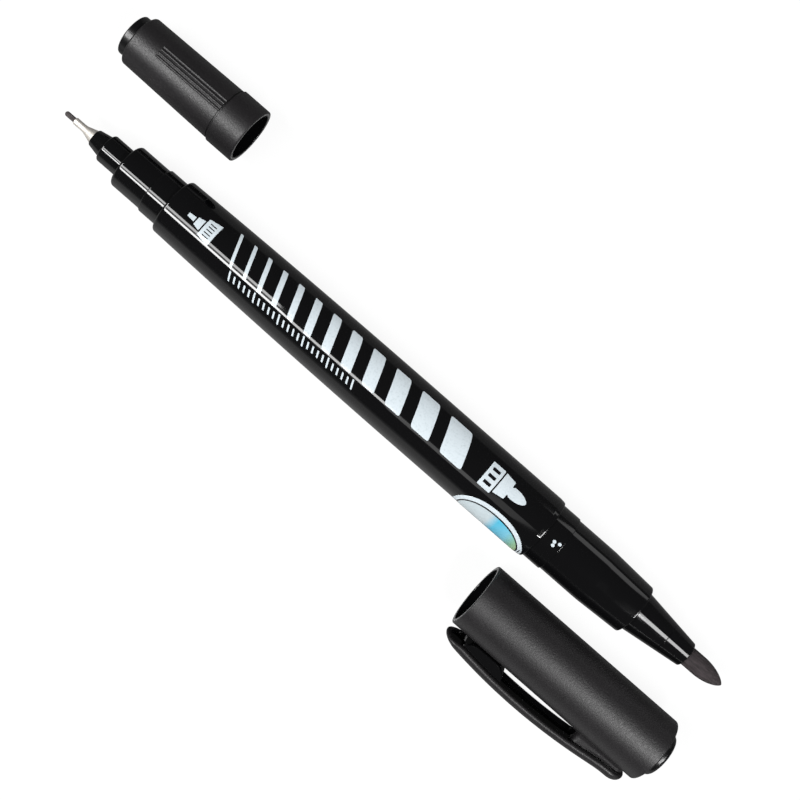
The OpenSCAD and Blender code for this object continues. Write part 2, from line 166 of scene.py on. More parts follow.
def skin(name, *grids, finishes=None):
    """One closed mesh over grids of points. Neighbours in a grid's rows and columns make a quad.
    Points in one place become one vertex, so that seams and poles close, and faces are turned to
    make the volume positive. Finishes number the material of each grid."""
    points = np.concatenate([grid.reshape(-1, 3) for grid in grids])
    quads, finish, start = [], [], 0
    for grid, material in zip(grids, finishes or [0] * len(grids)):
        rows, columns = grid.shape[:2]
        index = start + np.arange(rows * columns).reshape(rows, columns)
        corners = [index[:-1, :-1], index[1:, :-1], index[1:, 1:], index[:-1, 1:]]
        quads.append(np.stack(corners, -1).reshape(-1, 4))
        finish.append(np.full(len(quads[-1]), material))
        start += rows * columns
    points = np.round(points, MERGE_DECIMALS) + 0.0
    merged, number = np.unique(points, axis=0, return_inverse=True)
    quads, finish = number.reshape(-1)[np.concatenate(quads)], np.concatenate(finish)
    doubled = quads == np.roll(quads, -1, axis=1)
    full, three = ~doubled.any(axis=1), doubled.sum(axis=1) == 1
    whole, pointed = quads[full], quads[three][~doubled[three]].reshape(-1, 3)
    halves = np.concatenate([whole[:, [0, 1, 2]], whole[:, [0, 2, 3]], pointed])
    a, b, c = merged[halves[:, 0]], merged[halves[:, 1]], merged[halves[:, 2]]
    if np.sum(a * np.cross(b, c)) < 0:
        whole, pointed = whole[:, ::-1], pointed[:, ::-1]
    mesh = bpy.data.meshes.new(name)
    mesh.from_pydata((merged * MM).tolist(), [], whole.tolist() + pointed.tolist())
    mesh.polygons.foreach_set("material_index", np.concatenate([finish[full], finish[three]]))
    mesh.shade_smooth()
    mesh.set_sharp_from_angle(angle=SHARP)
    return put(name, mesh)


def rounded(corners, steps=6, hold=0.35):
    """An outline through corners (x, r, edge radius). At each corner an arc of that radius touches
    both sides, at radius / tan(half of the corner's angle) from the corner. Points a little further
    along, by the share hold of that distance, keep the shading of flat stretches flat."""
    corners = np.array(corners, float)
    places, edges = corners[:, :2], corners[:, 2]
    outline = [places[0]]
    for before, corner, after, edge in zip(places, places[1:], places[2:], edges[1:]):
        if edge == 0:
            outline.append(corner)
            continue
        back = (before - corner) / np.linalg.norm(before - corner)
        on = (after - corner) / np.linalg.norm(after - corner)
        half = np.arccos(np.clip(back @ on, -1, 1)) / 2
        reach = edge / np.tan(half)
        middle = corner + (back + on) / np.linalg.norm(back + on) * edge / np.sin(half)
        first, last = corner + back * reach - middle, corner + on * reach - middle
        turn = np.pi - 2 * half
        share = np.linspace(0, 1, steps + 1)[:, None]
        arc = (first * np.sin((1 - share) * turn) + last * np.sin(share * turn)) / np.sin(turn)
        outline.append(corner + back * reach * (1 + hold))
        outline.extend(middle + arc)
        outline.append(corner + on * reach * (1 + hold))
    outline.append(places[-1])
    return np.array(outline)


def turned(name, *outlines, axis=pen_axis, angles=ROUND, relief=None):
    """A turned piece: at the angle a an outline point (x, r) goes to y = r sin a and z = r cos a
    from the axis. A relief, worked out from x, r and a, is added to r. Outlines that end where the
    next begins make one piece, each with its own material."""
    a = angles[None, :]
    grids = []
    for outline in outlines:
        x, r = outline[:, :1], outline[:, 1:]
        if relief:
            r = r + relief(x, r, a)
        y, z = axis[0] + r * np.sin(a), axis[1] + r * np.cos(a)
        grids.append(np.stack([x + 0 * a, y, z], -1))
    return skin(name, *grids, finishes=range(len(grids)))


def stadium(start, end, half_width, straight=64, bend=24):
    """Points round an outline with straight sides and round ends, as places along the middle line
    and the directions that point out from there, (along, across)."""
    first, last = start + half_width, end - half_width
    side, half_turn = np.linspace(first, last, straight), np.linspace(0, np.pi, bend)
    middle = np.concatenate(
        [side, np.full(bend, last), side[::-1], np.full(bend, first), [first]])
    angle = np.concatenate(
        [np.zeros(straight), half_turn, np.full(straight, np.pi), np.pi + half_turn, [0]])
    return middle, np.sin(angle), np.cos(angle)


# Materials

# Of polypropylene and of the print's varnish
PLASTIC_IOR = 1.49
VARNISH_ROUGHNESS = 0.14
# Numbers of a Mix node's two colours and its result, whose names other sockets share
MIX_FIRST, MIX_SECOND, MIX_RESULT = 6, 7, 2


def linear(colour):
    """A colour written as an sRGB hex value, as linear red, green, blue and 1."""
    parts = [int(colour[i:i + 2], 16) / 255 for i in (1, 3, 5)]
    return (*(c / 12.92 if c <= 0.04045 else ((c + 0.055) / 1.055) ** 2.4 for c in parts), 1.0)


def per_metre(size):
    """The scale at which a noise's cells are about size millimetres across."""
    return 1 / (size * MM)


def bare_tree(owner):
    """The emptied node tree of a material or a world."""
    owner.use_nodes = True
    owner.node_tree.nodes.clear()
    return owner.node_tree


def feed(node, inputs):
    """Sets a node's inputs, by name or number, to a value, an output or a node's first output."""
    for name, value in inputs.items():
        if isinstance(value, bpy.types.Node):
            value = value.outputs[0]
        if isinstance(value, bpy.types.NodeSocket):
            node.id_data.links.new(value, node.inputs[name])
        else:
            node.inputs[name].default_value = value


def add(tree, kind, inputs=None, **settings):
    """Adds a node with its settings and inputs. Its kind is given without the word ShaderNode."""
    node = tree.nodes.new("ShaderNode" + kind)
    for name, value in settings.items():
        setattr(node, name, value)
    feed(node, inputs or {})
    return node


def surface(name, **sockets):
    """A material with one Principled shader. Sockets are given by name, with _ for a space."""
    material = bpy.data.materials.new(name)
    tree = bare_tree(material)
    values = {socket.replace("_", " "): value for socket, value in sockets.items()}
    shader = add(tree, "BsdfPrincipled", values)
    add(tree, "OutputMaterial", {"Surface": shader})
    place = add(tree, "TexCoord").outputs["Object"]
    return material, tree, shader, place


def gloss_polypropylene(name, clear, dull):
    """Polypropylene moulded in a polished tool: deep black, mirrors the lamps in streaks that waver
    a little where the wall sank as it cooled. Handling leaves it duller in patches, from the
    roughness clear to dull."""
    patch_size, wave_size = 4, 5
    material, tree, shader, place = surface(name, Base_Color=linear("#080809"), IOR=PLASTIC_IOR)
    patches = add(tree, "TexNoise", {"Vector": place, "Scale": per_metre(patch_size), "Detail": 5})
    rough = add(tree, "MapRange", {
        "Value": patches, "From Min": 0.35, "From Max": 0.7, "To Min": clear, "To Max": dull})
    waves = add(tree, "TexNoise", {"Vector": place, "Scale": per_metre(wave_size), "Detail": 1})
    bump = add(tree, "Bump", {"Height": waves, "Strength": 0.12, "Distance": 0.05 * MM})
    feed(shader, {"Roughness": rough, "Normal": bump})
    return material


def textured_polypropylene():
    """Polypropylene moulded in a spark-eroded tool: a satin charcoal black with a fine pebble grain
    that spreads the lamps into one soft band. The real grain of about 0.1 mm is drawn coarser."""
    grain_size, cloud_size = 0.26, 3.5
    material, tree, shader, place = surface("polypropylene_spark_eroded_mould", IOR=PLASTIC_IOR)
    grain = add(tree, "TexNoise", {"Vector": place, "Scale": per_metre(grain_size), "Detail": 3})
    cloud = add(tree, "TexNoise", {"Vector": place, "Scale": per_metre(cloud_size), "Detail": 4})
    colour = add(tree, "Mix", {
        "Factor": cloud, MIX_FIRST: linear("#121112"), MIX_SECOND: linear("#1a181a")},
        data_type="RGBA")
    rough = add(tree, "MapRange", {
        "Value": grain, "From Min": 0.3, "From Max": 0.7, "To Min": 0.38, "To Max": 0.5})
    bump = add(tree, "Bump", {"Height": grain, "Strength": 0.6, "Distance": 0.05 * MM})
    feed(shader, {"Base Color": colour.outputs[MIX_RESULT], "Roughness": rough, "Normal": bump})
    return material


def parting_edge():
    """Polypropylene where the two halves of a tool met: a matte, faintly torn edge, black from the
    front, that catches light at a flat angle as a pale line."""
    material, *_ = surface(
        "polypropylene_parting_edge", Base_Color=linear("#161516"), Roughness=0.5,
        IOR=PLASTIC_IOR, Sheen_Weight=0.38, Sheen_Roughness=0.4)
    return material


def turned_steel():
    """Stainless steel turned on a lathe: bright, with fine rings round the axis that stretch its
    highlights along the sleeve. The rings are drawn about 0.12 mm apart, to show."""
    ring_size = 0.12
    material, tree, shader, place = surface(
        "stainless_steel_turned", Base_Color=linear("#f0ebe4"), Metallic=1.0)
    along = add(tree, "SeparateXYZ", {0: place}).outputs["X"]
    rings = add(tree, "TexNoise", {
        "W": along, "Scale": per_metre(ring_size), "Detail": 2}, noise_dimensions="1D")
    rough = add(tree, "MapRange", {
        "Value": rings, "From Min": 0.3, "From Max": 0.7, "To Min": 0.52, "To Max": 0.62})
    bump = add(tree, "Bump", {"Height": rings, "Strength": 0.1, "Distance": 0.004 * MM})
    feed(shader, {"Roughness": rough, "Normal": bump})
    return material


def bonded_fibre(name, dark, light, thread):
    """Fibres bonded into a rod and cut: a matte, faintly furry surface of threads along the rod. A
    thread is its width in millimetres, coarser than a real one, to show."""
    stretch = (0.12, 1, 1)
    material, tree, shader, place = surface(name, Roughness=0.85, Specular_IOR_Level=0.35)
    stretched = add(tree, "Mapping", {"Vector": place, "Scale": stretch})
    threads = add(tree, "TexNoise", {
        "Vector": stretched, "Scale": per_metre(thread), "Detail": 4, "Roughness": 0.6})
    shade = add(tree, "MapRange", {"Value": threads, "From Min": 0.3, "From Max": 0.7})
    colour = add(tree, "Mix", {
        "Factor": shade, MIX_FIRST: linear(dark), MIX_SECOND: linear(light)}, data_type="RGBA")
    bump = add(tree, "Bump", {"Height": threads, "Strength": 0.5, "Distance": 0.06 * MM})
    feed(shader, {"Base Color": colour.outputs[MIX_RESULT], "Normal": bump})
    return material


def printed_ink(name, colour, thin):
    """Ink printed through a screen and varnished: nearly as glossy as the barrel, a little thinner
    in specks where the mesh of the screen was."""
    speck_size = 0.3
    material, tree, shader, place = surface(name, Roughness=VARNISH_ROUGHNESS, IOR=PLASTIC_IOR)
    specks = add(tree, "TexNoise", {"Vector": place, "Scale": per_metre(speck_size), "Detail": 2})
    share = add(tree, "MapRange", {"Value": specks, "From Min": 0.5, "From Max": 0.75})
    mixed = add(tree, "Mix", {
        "Factor": share, MIX_FIRST: linear(colour), MIX_SECOND: linear(thin)}, data_type="RGBA")
    feed(shader, {"Base Color": mixed.outputs[MIX_RESULT]})
    return material


def run_tints():
    """Ink printed through fine screens and varnished, in tints that run into each other along the
    barrel: pale grey, sky blue, green and lime."""
    # Where the first tint ends and the last one begins, and the tints at shares of that way
    first, last = 8.2, 15.6
    tints = (
        (0.0, "#a9b4b8"), (0.2, "#47a1bd"), (0.5, "#66a6bb"), (0.75, "#7fa687"), (1.0, "#a9af7c"))
    material, tree, shader, place = surface(
        "screen_print_ink_tints", Roughness=VARNISH_ROUGHNESS, IOR=PLASTIC_IOR)
    along = add(tree, "SeparateXYZ", {0: place}).outputs["X"]
    share = add(tree, "MapRange", {"Value": along, "From Min": first * MM, "From Max": last * MM})
    ramp = add(tree, "ValToRGB", {0: share})
    stops = ramp.color_ramp.elements
    for at, _ in tints[1:-1]:
        stops.new(at)
    for stop, (at, tint) in zip(stops, tints):
        stop.position, stop.color = at, linear(tint)
    feed(shader, {"Base Color": ramp})
    return material


def wrapped_film():
    """Thin polypropylene film wound round the reservoir: pale, glossy, with faint long wrinkles."""
    wrinkle_size = 1.5
    stretch = (0.1, 1, 1)
    material, tree, shader, place = surface(
        "polypropylene_film", Base_Color=linear("#d8dde2"), Roughness=0.2)
    stretched = add(tree, "Mapping", {"Vector": place, "Scale": stretch})
    wrinkles = add(tree, "TexNoise", {"Vector": stretched, "Scale": per_metre(wrinkle_size)})
    bump = add(tree, "Bump", {"Height": wrinkles, "Strength": 0.4, "Distance": 0.1 * MM})
    feed(shader, {"Normal": bump})
    return material


gloss_black = gloss_polypropylene("polypropylene_polished_mould", clear=0.04, dull=0.075)
# The plugs' tool isn't polished as far, so that lamps show on them as soft spots
plug_black = gloss_polypropylene("polypropylene_fine_ground_mould", clear=0.24, dull=0.32)
satin_black = textured_polypropylene()
matte_edge = parting_edge()
steel = turned_steel()
inked_felt = bonded_fibre("polyester_felt_soaked_with_ink", "#1c1819", "#393234", thread=0.3)
inked_core = bonded_fibre("acetal_core_stained_with_ink", "#2b2727", "#4f4a4a", thread=0.1)
reservoir_felt = bonded_fibre(
    "polyester_wadding_soaked_with_ink", "#232326", "#3c3c42", thread=0.4)
film_wrap = wrapped_film()
white_ink = printed_ink("screen_print_ink_white", "#bdc6cb", "#aeb8bd")
black_ink = printed_ink("screen_print_ink_black", "#0d0d0f", "#151517")
tint_ink = run_tints()


def fit(piece, materials, body, nodes=()):
    """Gives a piece its materials, its body and the nodes that it stands for."""
    for material in materials:
        piece.data.materials.append(material)
    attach(piece, body)
    if nodes:
        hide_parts(*nodes)


# The pen

def pen_piece(name, node, corners, material=gloss_black):
    """A hollow piece of the pen, turned, through corners that go once round its wall."""
    fit(turned(name, rounded(corners + corners[:1])), [material], "pen", [node])


def barrel_radius(x):
    """Radius of the barrel's outside: a parabola that ends level, a straight stretch and a short
    cone, whose length keeps the far lamp's streak off the barrel."""
    taper = np.clip((straight_start - x) / (straight_start - barrel_start), 0, 1)
    cone = np.clip((x - cone_start) / (barrel_end - cone_start), 0, 1)
    narrowed = (barrel_r - barrel_needle_r) * taper ** 2
    return barrel_r - narrowed - (barrel_r - barrel_bullet_r) * cone


def barrel():
    """The tube, turned: its outside follows barrel_radius and its bore is straight."""
    taper_steps = 24
    # Radius on the shoulder at the needle end, and where the cone begins
    needle_edge = 0.45
    cone_bend = 1.0
    taper = np.linspace(barrel_start, straight_start, taper_steps)[1:]
    tube = [
        (barrel_start, bore_r, 0),
        (barrel_start, barrel_needle_r, needle_edge),
        *((x, barrel_radius(x), 0) for x in taper),
        (cone_start, barrel_r, cone_bend),
        (barrel_end, barrel_bullet_r, soft_edge),
        (barrel_end, bore_r, 0)]
    pen_piece("barrel_tube", "barrel", tube)


def bullet_end():
    """The grip section, the nose and the nib, all turned. The nib ends in an ogive, along which x
    goes as sin a and r as a power of cos a."""
    # Radius of the section's front edge, of the nose's small end and of the nose's stem
    front_r = 4.4
    nose_tip_r = 2.175
    stem_r = 3.2
    # Radius of the bend from the seat to the front's taper, and on the nose's small end
    seat_bend = 12.0
    nose_edge = 0.16
    # Fine parting line round the nose: distance from the small end, half width, depth, edge radius
    line_back = 4.5
    line_half = 0.06
    line_deep = 0.07
    line_edge = 0.02
    # Straight part of the nib outside the nose, and the power that rounds its ogive
    nib_straight = 2.6
    ogive_power = 1.4
    ogive_steps = 28

    tail_r = bullet_nib_r + tail_room
    section = [
        (bullet_spigot_start, tail_r, 0),
        (bullet_spigot_start, spigot_r, crisp_edge),
        (barrel_end, spigot_r, 0),
        (barrel_end, bullet_collar_r, 0),
        (bullet_collar_end, bullet_collar_r, crisp_edge),
        (bullet_collar_end, bullet_seat_r, 0),
        (bullet_seat_end, bullet_seat_r, seat_bend),
        (bullet_front, front_r, soft_edge),
        (bullet_front, stem_r + press_gap, 0),
        (bullet_stem_start, stem_r + press_gap, 0),
        (bullet_stem_start, tail_r, 0)]
    pen_piece("bullet_grip_section", "bullet_section", section)

    line_x = bullet_nose_end - line_back
    slope = (nose_tip_r - bullet_nose_r) / (bullet_nose_end - bullet_front)
    line_r = nose_tip_r - slope * line_back
    hole_r = bullet_nib_r + press_gap
    nose = [
        (bullet_stem_start, hole_r, 0),
        (bullet_stem_start, stem_r, crisp_edge),
        (bullet_front, stem_r, 0),
        (bullet_front, bullet_nose_r, crisp_edge),
        (line_x - line_half, line_r - slope * line_half, line_edge),
        (line_x, line_r - line_deep, line_edge),
        (line_x + line_half, line_r + slope * line_half, line_edge),
        (bullet_nose_end, nose_tip_r, nose_edge),
        (bullet_nose_end, hole_r, 0)]
    pen_piece("bullet_nose_cone", "bullet_nose", nose)

    shoulder = bullet_nose_end + nib_straight
    a = np.linspace(0, np.pi / 2, ogive_steps)
    ogive_x = shoulder + (bullet_tip - shoulder) * np.sin(a)
    ogive_r = bullet_nib_r * np.cos(a) ** ogive_power
    ogive_r[-1] = 0
    tail = [(bullet_tail, 0), (bullet_tail, bullet_nib_r)]
    nib = np.concatenate([tail, np.stack([ogive_x, ogive_r], -1)])
    fit(turned("bullet_point", nib), [inked_felt], "pen", ["bullet_nib"])


def needle_end():
    """The grip section, the stepped nose, the steel sleeve and the nib with its half ball, all
    turned."""
    # Radii on the front edges of the snap ring and of the section
    ring_edge = 0.2
    front_edge = 0.5
    # The nose: length of its collar, radii of both ends of its taper and of its stem
    collar_len = 4.2
    nose_r = 1.95
    nose_tip_r = 1.45
    stem_r = 2.1
    # Radii on the collar's front edge, in the corner before it and on the nose's tip
    collar_edge = 0.35
    nose_root = 0.08
    nose_edge = 0.2
    # The steel sleeve: length of its cone, radii of its tube and stem
    sleeve_cone_len = 2.0
    tube_r = 0.6
    sleeve_stem_r = 0.9
    # Radii of the bend from the cone to the tube, on the tube's edge and on the hole's
    tube_bend = 2.5
    tube_edge = 0.08
    hole_edge = 0.03
    dome_steps = 16

    tail_r = needle_nib_r + tail_room
    section = [
        (needle_spigot_end, tail_r, 0),
        (needle_spigot_end, spigot_r, crisp_edge),
        (barrel_start, spigot_r, 0),
        (barrel_start, needle_ring_r, 0),
        (needle_ring_start, needle_ring_r, ring_edge),
        (needle_ring_start, needle_seat_r, 0),
        (needle_front, needle_seat_r, front_edge),
        (needle_front, stem_r + press_gap, 0),
        (needle_stem_end, stem_r + press_gap, 0),
        (needle_stem_end, tail_r, 0)]
    pen_piece("needle_grip_section", "needle_section", section)

    collar_front = needle_front - collar_len
    socket_r = sleeve_stem_r + press_gap
    nose = [
        (needle_stem_end, tail_r, 0),
        (needle_stem_end, stem_r, crisp_edge),
        (needle_front, stem_r, 0),
        (needle_front, needle_collar_r, 0),
        (collar_front, needle_collar_r, collar_edge),
        (collar_front, nose_r, nose_root),
        (needle_nose_front, nose_tip_r, nose_edge),
        (needle_nose_front, socket_r, 0),
        (sleeve_stem_end, socket_r, 0),
        (sleeve_stem_end, tail_r, 0)]
    pen_piece("needle_nose_stepped", "needle_nose", nose)

    cone_front = needle_nose_front - sleeve_cone_len
    hole_r = needle_nib_r + press_gap
    sleeve = [
        (sleeve_stem_end, hole_r, 0),
        (sleeve_stem_end, sleeve_stem_r, 0),
        (needle_nose_front, sleeve_stem_r, 0),
        (needle_nose_front, sleeve_base_r, fine_edge),
        (cone_front, tube_r, tube_bend),
        (sleeve_front, tube_r, tube_edge),
        (sleeve_front, hole_r, hole_edge)]
    pen_piece("needle_sleeve_steel", "needle_sleeve", sleeve, steel)

    a = np.linspace(0, np.pi / 2, dome_steps)
    dome_x, dome_r = needle_tip + needle_nib_r * (1 - np.cos(a)), needle_nib_r * np.sin(a)
    tail = [(needle_tail, needle_nib_r), (needle_tail, 0)]
    nib = np.concatenate([np.stack([dome_x, dome_r], -1), tail])
    fit(turned("needle_point", nib), [inked_core], "pen", ["needle_nib"])


barrel()
bullet_end()
needle_end()
for node, material in (("reservoir_core", reservoir_felt), ("reservoir_film", film_wrap)):
    frame["nodes"][node].data.materials.clear()
    frame["nodes"][node].data.materials.append(material)


# The caps

cap_end_wall = 1.2
# Radii on a mouth's outer and inner edge, and how far in from the outside its matte lip begins
mouth_edge = 0.2
lead_in = 0.1
lip_in = 0.3


def cap_plug(cap, axis, end, plug_r, edge, wall_in, liner_start, liner_r, cup_r, cup_end):
    """An end plug, turned in one piece with the cup that seals the point. It fills the hole in the
    cap's end wall, and from the wall's inside on it is as wide as the liner."""
    cup_root = 0.3
    plug = [
        (end, 0, 0),
        (end, plug_r, edge),
        (wall_in, plug_r, 0),
        (wall_in, liner_r, 0),
        (liner_start, liner_r, fine_edge),
        (liner_start, cup_r, fine_edge),
        (cup_end, cup_r, cup_root),
        (cup_end, 0, 0)]
    piece = turned(cap + "_plug", rounded(plug), axis=axis)
    fit(piece, [plug_black], cap, [cap + "_liner"])


def cap_body(cap, outside, inside, **shape):
    """A cap's body, turned: satin outside, glossy inside, and a matte lip round the mouth."""
    lip = [inside[-1], outside[0]]
    outlines = [rounded(outline) for outline in (outside, inside, lip)]
    piece = turned(cap + "_body", *outlines, **shape)
    fit(piece, [satin_black, gloss_black, matte_edge], cap, [cap + "_shell"])


def small_cap():
    """The small cap's body, with ribs as a relief on its outside, and its plug."""
    # Mouth ring, the body's radius beside it and at the closed end, and the edge there
    ring_len = 5.0
    root_r = 4.675
    end_r = 4.4
    end_edge = 0.35
    # Groove behind the ring: width, radius, and radii in its corners and on its edge
    groove_w = 0.32
    groove_r = 4.52
    groove_root = 0.03
    groove_edge = 0.06
    # Room all round the pen's snap ring in the wider mouth
    ring_room = 0.05
    # End plug and the radius on its edge, and the wall and floor of its cup
    plug_r = 3.55
    plug_edge = 0.25
    cup_wall = 0.7
    cup_floor = 1.9
    # Grip ribs: count in a group, distance, radius of the back, height, length, turn from the top
    rib_count = 4
    rib_pitch = 0.65
    rib_r = 0.25
    rib_out = 0.12
    rib_len = 13.0
    rib_turn = math.radians(7)
    # Stations along the ribs: a few up to short of their ends, and close ones round the ends
    few, short_of_end = 8, 1.0
    close, round_end = 15, 0.3
    # Half of the angle with close columns for a group of ribs, and the columns there and between
    fine = math.radians(26)
    fine_columns = 121
    wide_columns = 61

    mouth_r = needle_ring_r + ring_room
    ring_back = small_mouth - ring_len
    body_start = ring_back - groove_w
    rib_end = ring_back - rib_len
    pocket_r = small_liner_r + press_gap
    wall_in = small_closed + cap_end_wall

    def body_r(x):
        """Radius of the body, a straight line from the closed end to the ring."""
        return end_r + (root_r - end_r) * (x - small_closed) / (ring_back - small_closed)

    def ribs(x, r, a):
        """Round-backed ribs in two groups opposite each other: a circle's height over the skin at
        the distance from the nearest rib's middle line, which ends in a half ball."""
        arc = (np.mod(a - rib_turn + np.pi / 2, np.pi) - np.pi / 2) * root_r
        outermost = rib_count / 2 - 0.5
        nearest = np.clip(np.floor(arc / rib_pitch) + 0.5, -outermost, outermost)
        away = np.hypot(arc - nearest * rib_pitch, np.maximum(rib_end - x, 0))
        height = np.sqrt(np.maximum(rib_r ** 2 - away ** 2, 0)) - (rib_r - rib_out)
        on_body = (r > mouth_r + lead_in) & (x < body_start)
        return np.where(on_body, np.maximum(height, 0), 0)

    rib_stations = np.concatenate([
        np.linspace(body_start - groove_w, rib_end + short_of_end, few),
        np.linspace(rib_end + round_end, rib_end - round_end, close)])
    outside = [
        (small_mouth, small_ring_r - lip_in, 0),
        (small_mouth, small_ring_r, mouth_edge),
        (ring_back, small_ring_r, crisp_edge),
        (ring_back, groove_r, groove_root),
        (body_start, groove_r, groove_root),
        (body_start, body_r(body_start), groove_edge),
        *((x, body_r(x), 0) for x in rib_stations),
        (small_closed, end_r, end_edge),
        (small_closed, plug_r + press_gap, 0)]
    inside = [
        (small_closed, plug_r + press_gap, 0),
        (wall_in, plug_r + press_gap, 0),
        (wall_in, pocket_r, 0),
        (small_liner_start, pocket_r, 0),
        (small_liner_start, small_bore_r, 0),
        (small_bore_start, small_bore_r, fine_edge),
        (small_bore_start, mouth_r, 0),
        (small_mouth, mouth_r, lead_in),
        (small_mouth, mouth_r + 2 * lead_in, 0)]
    group = np.linspace(-fine, fine, fine_columns)
    between = np.linspace(fine, np.pi - fine, wide_columns)[1:-1]
    half = np.concatenate([group, between]) + rib_turn
    around = np.concatenate([half, half + np.pi, half[:1] + 2 * np.pi])
    cap_body("small_cap", outside, inside, axis=small_axis, angles=around, relief=ribs)
    cap_plug(
        "small_cap", small_axis, small_plug_end, plug_r, plug_edge, wall_in,
        small_liner_start, small_liner_r, small_liner_r - cup_wall, small_plug_end + cup_floor)


def big_cap():
    """The big cap's plain body and its plug."""
    end_edge = 0.3
    # End plug and the radius on its edge, and the wall and floor of its cup
    plug_r = 3.825
    plug_edge = 0.6
    cup_wall = 0.8
    cup_floor = 1.0

    wall_in = big_closed - cap_end_wall
    pocket_r = big_liner_r + press_gap
    outside = [
        (big_mouth, big_cap_r - lip_in, 0),
        (big_mouth, big_cap_r, mouth_edge),
        (big_closed, big_cap_r, end_edge),
        (big_closed, plug_r + press_gap, 0)]
    inside = [
        (big_closed, plug_r + press_gap, 0),
        (wall_in, plug_r + press_gap, 0),
        (wall_in, pocket_r, 0),
        (big_bore_end, pocket_r, 0),
        (big_bore_end, big_bore_r, 0),
        (big_mouth, big_bore_r, lead_in),
        (big_mouth, big_bore_r + 2 * lead_in, 0)]
    cap_body("big_cap", outside, inside, axis=big_axis)
    cap_plug(
        "big_cap", big_axis, big_plug_end, plug_r, plug_edge, wall_in,
        big_liner_start, big_liner_r, big_liner_r - cup_wall, wall_in - cup_floor)


small_cap()
big_cap()


# The clip, with places out from the cap's axis, across the leaf, and along from the cap's mouth

# Roll below the horizontal
clip_roll = math.radians(19)
# Both ends of the leaf, its half width and its thickness
clip_start = 0.5
clip_end = 36.5
clip_half_w = 2.7
clip_t = 1.3
# The leaf's bow: its radius, and where its highest point lies, along and out from the cap's skin
clip_bow_r = 90.0
clip_top_at = 15.7
clip_top_out = 3.7
# How far the leaf's flat root lies out from the cap's skin, and where the leaf bends
clip_flat_out = 2.15


def leaf_at(along, height=0.0):
    """Distance of the leaf from the cap's axis, at a height over its outer face: a circle's arc c
    that runs into the flat root f as their smooth maximum, half of c + f + the root of
    (c - f)^2 + melt^2."""
    melt = 0.2
    bow_middle = big_cap_r + clip_top_out - clip_bow_r
    arc = bow_middle + np.sqrt((clip_bow_r + height) ** 2 - (along - clip_top_at) ** 2)
    flat = big_cap_r + clip_flat_out + height
    return (arc + flat + np.sqrt((arc - flat) ** 2 + melt ** 2)) / 2


def on_cap(out, across, along):
    """Points of the clip in the frame's axes: the clip leans below the horizontal by its roll."""
    lean = np.array([-math.cos(clip_roll), -math.sin(clip_roll)])
    side = np.array([math.sin(clip_roll), -math.cos(clip_roll)])
    y = big_axis[0] + out * lean[0] + across * side[0]
    z = big_axis[1] + out * lean[1] + across * side[1]
    return np.stack([big_mouth + along, y, z], -1)


def clip_leaf():
    """A profile (inset from the edge, height over the outer face) carried round a stadium: a rim
    round a sunk inner face, on the leaf's bow. Towards the free end the leaf thins in half a cosine
    wave, to let a pocket's edge in."""
    # Width of the rim, and of the bank that leads from it down to the inner face
    rim = 0.75
    bank = 0.1
    # How far the rim and the outer face stand out, and how deep the inner face lies
    rim_in = 0.12
    swell = 0.17
    sunk = 0.55
    # Radii on the rim, on the outer face and at the bank's foot. The first two nearly meet, which
    # leaves little room for the points that hold flat stretches
    rim_edge = 0.45
    back_edge = 1.1
    bank_root = 0.1
    little_hold = 0.02
    # Share of the thickness that is left at the free end, and over what length it grows
    thin = 0.5
    thin_len = 4.0

    rim_height = -clip_t - rim_in
    outside = rounded([
        (rim, rim_height, 0),
        (0, rim_height, rim_edge),
        (0, swell, back_edge),
        (clip_half_w, swell, 0)], hold=little_hold)
    inside = rounded([
        (clip_half_w, sunk - clip_t, 0),
        (rim + bank, sunk - clip_t, bank_root),
        (rim, rim_height, 0)])
    middle, out_along, out_across = stadium(clip_start, clip_end, clip_half_w)
    grids = []
    for profile in (outside, inside):
        reach = clip_half_w - profile[:, :1]
        along, across = middle + out_along * reach, out_across * reach
        wave = np.cos(np.pi * np.clip((along - clip_start) / thin_len, 0, 1)) / 2 + 0.5
        height = profile[:, 1:] * (1 - (1 - thin) * wave)
        grids.append(on_cap(leaf_at(along, height), across, along))
    leaf = skin("clip_leaf", *grids, finishes=(0, 1))
    leaf.data.materials.append(satin_black)
    leaf.data.materials.append(gloss_black)
    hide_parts("clip")
    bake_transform(leaf)


def clip_web():
    """A column with a stadium plan from inside the cap's wall into the leaf, flared at both ends.
    Its profile holds the inset from the plan's edge and the share of the way from foot to head."""
    # Ends and half width of the plan, width of the flares, depth of the foot in the wall
    start, end = 26.4, 36.0
    half_w = 1.2
    flare = 0.2
    sunk = 0.25
    # Shares of the way between which the foot and the head are flared, and bends beside them
    foot_from, foot_until, foot_bend = 0.05, 0.35, 0.25
    head_from, head_until, head_bend = 0.7, 0.95, 0.2
    profile = rounded([
        (half_w, 0, 0),
        (-flare, foot_from, 0),
        (0, foot_until, foot_bend),
        (0, head_from, head_bend),
        (-flare, head_until, 0),
        (half_w, 1, 0)])
    middle, out_along, out_across = stadium(start, end, half_w, straight=24)
    reach = half_w - profile[:, :1]
    along = middle + out_along * reach
    across = out_across * reach
    foot = np.sqrt(big_cap_r ** 2 - across ** 2) - sunk
    head = leaf_at(along, -clip_t / 2)
    web = skin("clip_web", on_cap(foot + (head - foot) * profile[:, 1:], across, along))
    fit(web, [satin_black], "big_cap")


